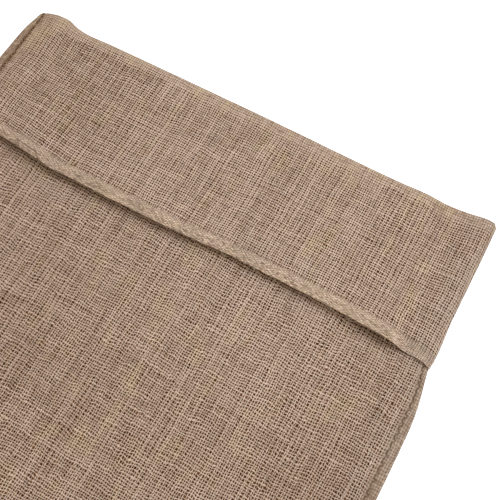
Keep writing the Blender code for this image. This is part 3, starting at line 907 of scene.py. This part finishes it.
class Shading:
    """The nodes of one material."""

    def __init__(self, name, roughness, specular):
        self.material = bpy.data.materials.new(name)
        self.material.use_nodes = True
        self.tree = self.material.node_tree
        self.shader = self.tree.nodes["Principled BSDF"]
        self.shader.inputs["Roughness"].default_value = roughness
        self.shader.inputs["Specular IOR Level"].default_value = specular

    def node(self, kind, **settings):
        """Adds a node with the given settings."""
        made = self.tree.nodes.new(kind)
        for name, value in settings.items():
            setattr(made, name, value)
        return made

    def attribute(self, name):
        """One of the cloth's LOOKS."""
        return Wire(self.tree, self.node("ShaderNodeAttribute", attribute_name=name).outputs["Fac"])

    def parts(self, vector):
        """The first two numbers of a vector socket."""
        split = self.node("ShaderNodeSeparateXYZ")
        self.tree.links.new(vector, split.inputs[0])
        return Wire(self.tree, split.outputs[0]), Wire(self.tree, split.outputs[1])

    def vector(self, *terms):
        """A vector socket from wires and numbers."""
        join = self.node("ShaderNodeCombineXYZ")
        feed(self.tree, join.inputs, terms)
        return join.outputs[0]

    def noise(self, u, v, seed, detail=1.0):
        """Noise about 0 with lumps of size 1: three independent numbers from about -1 to 1."""
        made = self.node("ShaderNodeTexNoise")
        made.inputs["Scale"].default_value = 1.0
        made.inputs["Detail"].default_value = detail
        self.tree.links.new(self.vector(u, v, seed), made.inputs["Vector"])
        split = self.node("ShaderNodeSeparateColor")
        self.tree.links.new(made.outputs["Color"], split.inputs[0])
        return [(Wire(self.tree, part) - 0.5) * 3.0 for part in split.outputs]

    def random(self, number, seed):
        """A random number from -1 to 1 for each whole number."""
        made = self.node("ShaderNodeTexWhiteNoise", noise_dimensions="2D")
        self.tree.links.new(self.vector(number, seed), made.inputs["Vector"])
        return Wire(self.tree, made.outputs["Value"]) * 2.0 - 1.0

    def blend(self, share, first, second):
        """A colour between two, each a socket or a colour."""
        made = self.node("ShaderNodeMix", data_type="RGBA")
        self.tree.links.new(share.socket, made.inputs["Factor"])
        for slot, colour in ((made.inputs[6], first), (made.inputs[7], second)):
            if isinstance(colour, tuple):
                slot.default_value = (*colour, 1.0)
            else:
                self.tree.links.new(colour, slot)
        return made.outputs[2]

    def paint(self, colour):
        """Gives the shader its colour."""
        self.tree.links.new(colour, self.shader.inputs["Base Color"])

    def bump(self, height, distance):
        """Gives the shader its relief."""
        made = self.node("ShaderNodeBump")
        made.inputs["Strength"].default_value = 1.0
        made.inputs["Distance"].default_value = distance
        self.tree.links.new(height.socket, made.inputs["Height"])
        self.tree.links.new(made.outputs["Normal"], self.shader.inputs["Normal"])


# ---- Materials

PAIR_SHIFT = 0.075  # how far, in yarns, the two warp yarns of a pair lean together
WARP_UNEVEN, WEFT_UNEVEN = 1.05, 0.88  # how unevenly each set's yarns lie and are toned
OPEN_HALF_WIDTH = 0.235  # half a yarn's width where the weave is open, of the yarns' pitch
CLOSED_HALF_WIDTH = 0.44
CELL_HALF = 0.49  # a yarn stays so close to the middle of its cell
YARN_RISE = 0.30  # how far a yarn rises and falls from one crossing to the next
YARN_ROUND = 0.42  # how high its rounded top stands
DEEPEST = -0.75  # the height where no yarn is
HEM_WARP_SUNK = 0.8  # how far the warp is hidden below the weft on the hem
YARN_BUMP = 0.0010  # how many metres of relief a height of 1 makes
GREY_YARNS = (92.0, 110.0)  # the warp yarns across which the right side turns grey

YARN_BROWN = (0.145, 0.092, 0.056)
YARN_TAN = (0.406, 0.306, 0.239)
YARN_STRAW = (0.375, 0.288, 0.182)
YARN_GREY = (0.325, 0.272, 0.210)
RIGHT_GREY = (0.272, 0.220, 0.196)
SHADE_BROWN = (0.085, 0.031, 0.009)
CLOSED_SHADE = (0.118, 0.080, 0.052)
# The holes' three colours are painted shade: the cloth beneath them lies in shadow.
HOLE_SHADE_BROWN = (0.085, 0.036, 0.014)
HOLE_SHADE_DARK = (0.026, 0.007, 0.001)
HOLE_SHADE_GREY = (0.052, 0.038, 0.026)
SPECK_COLOUR = (0.060, 0.032, 0.018)
HEM_TAN = (0.760, 0.565, 0.425)
HEM_BROWN = (0.210, 0.132, 0.085)
HEM_STRAW = (0.640, 0.480, 0.310)
# Painted shade of the seams' grooves and creases, also the colour of the dark mottles beside them.
SEAM_SHADE_AND_MOTTLE_BROWN = (0.070, 0.036, 0.016)
JUTE_SHEEN = (0.80, 0.55, 0.36, 1.0)
SEAM_THREAD_TONES = ((0.048, 0.023, 0.010), (0.160, 0.095, 0.052))
HEM_THREAD_TONES = ((0.150, 0.095, 0.060), (0.330, 0.250, 0.180))
FIBRE_TONES = ((0.200, 0.140, 0.090), (0.480, 0.400, 0.300))
FLOOR_WHITE = (0.93, 0.93, 0.93, 1.0)


class JuteCloth(Shading):
    """Plain weave of uneven jute yarns, in yarn counts, with closed weave at seams and hem."""

    def __init__(self):
        super().__init__("jute_cloth", roughness=0.9, specular=0.02)
        self.shader.inputs["Sheen Weight"].default_value = 0.025
        self.shader.inputs["Sheen Roughness"].default_value = 0.5
        self.shader.inputs["Sheen Tint"].default_value = JUTE_SHEEN
        self.closed = self.attribute("closed_weave")
        self.hem = self.attribute("hem_share")
        self.tight = self.closed.most(0.0)
        # The hem's upper side stands up as a ridge, which gets a painted highlight.
        self.ridge_highlight = 4.0 * self.hem * (1.0 - self.hem)  # 1 along the upper side of the hem
        self.place_yarns()
        self.weave()
        self.draw_patches()
        self.mix_tones()
        share = self.noise(self.u * 0.055, 0.0 * self.v, 39.0)[0].ramp(-0.7, 0.5, 0.50, 0.92)
        colour = self.blend(self.hem * share, self.yarn_colour(), self.hem_colour())
        self.paint(self.shaded(self.specks_seam_shade_and_grey(colour)))
        relief = self.height * (1.0 - 0.15 * self.closed) + 0.05 * self.fibre
        relief = relief + self.hem * (0.7 * self.wisp + 1.0 * self.grain)
        self.bump(relief, YARN_BUMP)

    def place_yarns(self):
        """The yarns' numbers at each place, which drift and jitter off even spacing."""
        u, v = self.parts(self.node("ShaderNodeUVMap", uv_map="yarns").outputs[0])
        drift_u, drift_v, _ = self.noise(u * 0.07, v * 0.06, 3.0)
        jitter_u, jitter_v, _ = self.noise(u * 0.33, v * 0.29, 9.0)
        on_front = v > 0.0
        self.u = u + 0.65 * drift_u + 0.16 * jitter_u
        self.v = v + 0.65 * drift_v + (0.25 + 0.21 * self.hem + 0.27 * on_front) * jitter_v

    def yarn_set(self, across, along, seed, lean, uneven_by):
        """One set of parallel yarns: number, place in its cell, rounded height, inside, tone."""
        number = across.floor()
        place = across - number
        own, other = self.random(number, seed), self.random(number, seed + 0.37)
        sway, thick, tone = self.noise(number * 7.31 + seed, along * 0.11, seed)
        slub, nap, _ = self.noise(number * 5.17 + seed, along * 0.55, seed + 2.0)
        half = OPEN_HALF_WIDTH * (1.0 + uneven_by * (0.14 * own + 0.38 * thick) + 0.28 * slub)
        half = half + self.closed * (CLOSED_HALF_WIDTH - half)
        room = (CELL_HALF - half).most(0.0)
        centre = lean * (1.0 - self.closed) * (1.0 - 2.0 * number.odd())
        centre = centre + uneven_by * (0.09 * other + 0.14 * sway)
        centre = 0.5 + centre.most(-room).least(room)
        side = (place - centre) / half
        rounded = (1.0 - side * side).most(0.0).root()
        inside = rounded > 0.001
        tone = uneven_by * (0.24 * other + 0.50 * tone) + 0.34 * nap
        tone = tone + slub.ramp(0.60, 1.10, 0.0, 0.6)
        return number, place, rounded, inside, tone

    def weave(self):
        """Crosses the two sets: the cloth's height, which yarn is on top, and the holes."""
        warp, warp_place, warp_round, on_warp, warp_tone = self.yarn_set(
            self.u, self.v, 11.0, PAIR_SHIFT, WARP_UNEVEN
        )
        weft, weft_place, weft_round, on_weft, weft_tone = self.yarn_set(
            self.v, self.u, 47.0, 0.0, WEFT_UNEVEN
        )
        over = 1.0 - 2.0 * (warp + weft).odd()
        climb = over * YARN_RISE * (1.0 - 0.70 * self.hem)
        warp_top = climb * ((weft_place - 0.5) * math.pi).cosine() + YARN_ROUND * warp_round
        weft_top = YARN_ROUND * weft_round - climb * ((warp_place - 0.5) * math.pi).cosine()
        warp_top = warp_top * on_warp + DEEPEST * (1.0 - on_warp) - HEM_WARP_SUNK * self.hem
        weft_top = weft_top * on_weft + DEEPEST * (1.0 - on_weft)
        self.warp_shows = warp_top > weft_top
        self.height = warp_top.most(weft_top)
        self.in_hole = (1.0 - on_warp) * (1.0 - on_weft)
        self.yarn_tone = self.warp_shows * warp_tone + (1.0 - self.warp_shows) * weft_tone

    def draw_patches(self):
        """Soft patches, streaks along the warp, fibres along the yarns, and the hem's wisps."""
        u, v, warp_shows = self.u, self.v, self.warp_shows
        self.patch, self.patch_hue, _ = self.noise(u * 0.14, v * 0.09, 21.0)
        self.streak, self.streak_hue, _ = self.noise(u * 0.35, v * 0.012, 33.0)
        # Its third number makes the seams' painted shade and mottles patchy.
        self.mottle, self.mottle_hue, self.seam_patchiness = self.noise(u * 0.42, v * 0.34, 87.0)
        fibre_u = warp_shows * (u * 5.0 + v * 1.4) + (1.0 - warp_shows) * (u * 0.9)
        fibre_v = warp_shows * (v * 0.9) + (1.0 - warp_shows) * (v * 5.0 + u * 1.4)
        self.fibre, self.fibre_hue, _ = self.noise(fibre_u, fibre_v, 5.0, detail=2.0)
        self.wisp, _, _ = self.noise(u * 0.21, v * 0.62 + u * 0.05, 15.0, detail=2.0)
        self.fleck, self.grain, _ = self.noise(u * 0.80, v * 0.90, 57.0)
        self.greyer = u.ramp(*GREY_YARNS) * (0.26 + 0.30 * self.patch_hue)

    def mix_tones(self):
        """How light the yarns are, and whether they are rather straw or rather grey."""
        tight, tone_shift = self.tight, self.attribute("tone_shift")
        streaks = (1.0 - self.closed) * (0.065 * self.streak + 0.03 * self.patch)
        tone = 0.72 + 0.34 * self.yarn_tone + streaks
        tone = tone + 0.16 * self.fibre - (0.22 - 0.10 * self.hem) * tight
        # The hem's ridge is painted lighter, as a painted highlight.
        self.tone = tone + 0.26 * self.mottle * tight + tone_shift + 0.12 * self.ridge_highlight
        hue = 0.05 + 0.85 * self.patch_hue + 0.30 * self.streak_hue + 0.30 * self.fibre_hue
        self.hue = hue + 0.8 * tight * self.mottle_hue

    def yarn_colour(self):
        """The yarns' own colour."""
        colour = self.blend(self.tone.ramp(0.0, 1.0), YARN_BROWN, YARN_TAN)
        colour = self.blend(self.hue.ramp(0.0, 1.1, 0.0, 0.8), colour, YARN_STRAW)
        return self.blend((-self.hue).ramp(0.3, 1.3, 0.0, 0.7), colour, YARN_GREY)

    def hem_colour(self):
        """Wisps that run along the hem, a little askew, and a painted highlight along its upper
        side. They are lighter to the right.
        """
        tone = 0.24 + 1.5 * self.wisp + 2.4 * self.grain + 0.30 * self.fibre + 0.75 * self.ridge_highlight
        tone = tone + 0.0048 * self.u + 0.6 * self.patch + 0.5 * self.streak
        straw = (self.hue + 0.6 * self.streak_hue).ramp(0.1, 1.3, 0.0, 0.7)
        colour = self.blend(tone.ramp(-1.5, 1.2), HEM_BROWN, HEM_TAN)
        colour = self.blend(straw, colour, HEM_STRAW)
        return self.blend(self.fleck.ramp(0.60, 1.00, 0.0, 0.7), colour, YARN_BROWN)

    def specks_seam_shade_and_grey(self, colour):
        """Dark specks, painted shade and dark mottles along the seams' drawn-in lines, and the
        greyer right side.
        """
        speck, _, _ = self.noise(self.u * 0.75, self.v * 0.75, 71.0)
        colour = self.blend(speck.ramp(0.92, 1.05, 0.0, 0.8), colour, SPECK_COLOUR)
        # Painted shade of the seams' drawn-in grooves and of the creases between the lobes, with
        # dark mottles, in patches.
        seam_shade_and_mottle_share = self.attribute("seam_shade_and_mottle") * self.seam_patchiness.ramp(-0.8, 0.6, 0.15, 1.0)
        colour = self.blend(seam_shade_and_mottle_share.least(0.95), colour, SEAM_SHADE_AND_MOTTLE_BROWN)
        return self.blend(self.greyer, colour, RIGHT_GREY)

    def shaded(self, colour):
        """Painted shade: the yarns' sides and dips are darker, and the holes are painted dark for
        the shaded cloth beneath them.
        """
        # The hem's ridge gets a painted highlight here too.
        lit = self.height - (0.26 - 0.12 * self.hem) * self.tight + 0.07 * self.ridge_highlight
        shade = self.blend(self.tight, SHADE_BROWN, CLOSED_SHADE)
        colour = self.blend(lit.ramp(-0.25, 0.60), shade, colour)
        # Painted shade in the holes, darker or browner from one hole to the next and greyer in
        # patches.
        cluster, _, _ = self.noise(self.u * 0.17, self.v * 0.17, 63.0)
        number = (self.u + 0.5).floor() * 1.7 + (self.v + 0.5).floor() * 0.61
        tone = 0.7 * self.random(number, 3.0) + 0.5 * cluster
        hole_shade = self.blend(tone.ramp(-0.8, 1.2), HOLE_SHADE_DARK, HOLE_SHADE_BROWN)
        grey_patch, _, _ = self.noise(self.u * 0.045, self.v * 0.045, 91.0)
        greyness = (grey_patch + 1.2 * self.greyer).ramp(0.30, 1.10, 0.0, 0.6)
        return self.blend(self.in_hole, colour, self.blend(greyness, hole_shade, HOLE_SHADE_GREY))


def strand_material(name, dark, light):
    """Twisted jute thread or loose fibre: two tones along it."""
    s = Shading(name, roughness=0.9, specular=0.05)
    x, y = s.parts(s.node("ShaderNodeTexCoord").outputs["Object"])
    tone, _, _ = s.noise(x * 420.0, y * 420.0, 1.0, detail=2.0)
    s.paint(s.blend(tone.ramp(-0.7, 0.7), dark, light))
    return s.material


def floor_material():
    """The even white of the ground under the sack."""
    s = Shading("pale_floor", roughness=0.9, specular=0.0)
    s.shader.inputs["Base Color"].default_value = FLOOR_WHITE
    return s.material


# ---- Studio

CAMERA_PLACE = (0.22878, -0.04019, 0.76712)
CAMERA_TURN = (20.480, 2.390, 28.848)  # in degrees, about X, Y and Z
CAMERA_LENS, CAMERA_SENSOR = 64.165, 36.0
KEY_PLACE, KEY_SIZE = (0.45, 0.72, 1.25), 0.9
KEY_POWER, KEY_COLOUR = 23.4, (1.00, 1.16, 1.34)
SKY_STRENGTH, SKY_COLOUR = 1.09, (1.00, 0.88, 0.75, 1.0)
FLOOR_HALF, FLOOR_DROP = 2.0, 0.0002


def make_camera():
    """A camera at the photograph's viewing angle."""
    data = bpy.data.cameras.new("camera")
    data.lens = CAMERA_LENS
    data.sensor_width = CAMERA_SENSOR
    data.clip_start = 0.01
    camera = add_object("camera", data)
    camera.location = CAMERA_PLACE
    camera.rotation_euler = [math.radians(turn) for turn in CAMERA_TURN]
    bpy.context.scene.camera = camera


def make_light():
    """One soft lamp from the folded end, and a pale sky."""
    data = bpy.data.lights.new("key_light", "AREA")
    data.shape = "DISK"
    data.size = KEY_SIZE
    data.energy = KEY_POWER
    data.color = KEY_COLOUR
    light = add_object("key_light", data)
    light.location = KEY_PLACE
    light.rotation_euler = (-Vector(KEY_PLACE)).to_track_quat("-Z", "Y").to_euler()
    world = bpy.data.worlds.new("studio")
    world.use_nodes = True
    world.node_tree.nodes["Background"].inputs["Color"].default_value = SKY_COLOUR
    world.node_tree.nodes["Background"].inputs["Strength"].default_value = SKY_STRENGTH
    bpy.context.scene.world = world
    bpy.context.scene.view_settings.view_transform = "Standard"


def make_floor():
    """The ground the sack lies on, a hair below it."""
    half = FLOOR_HALF
    corners = [(-half, -half, 0.0), (half, -half, 0.0), (half, half, 0.0), (-half, half, 0.0)]
    mesh = bpy.data.meshes.new("floor")
    mesh.from_pydata(corners, [], [(0, 1, 2, 3)])
    mesh.materials.append(floor_material())
    floor = add_object("floor", mesh)
    floor.location.z = -FLOOR_DROP


def main():
    """Builds the sack in its studio."""
    make_camera()
    make_light()
    make_floor()
    cloth = make_sack_cloth()
    cloth.data.materials.append(JuteCloth().material)
    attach(cloth, "root")
    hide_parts("sack_cloth")
    pieces = [
        make_seam_thread(strand_material("seam_thread", *SEAM_THREAD_TONES)),
        make_hem_thread(strand_material("hem_thread", *HEM_THREAD_TONES)),
        make_fibres(strand_material("loose_fibre", *FIBRE_TONES)),
    ]
    for piece in pieces:
        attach(piece, "root")


main()
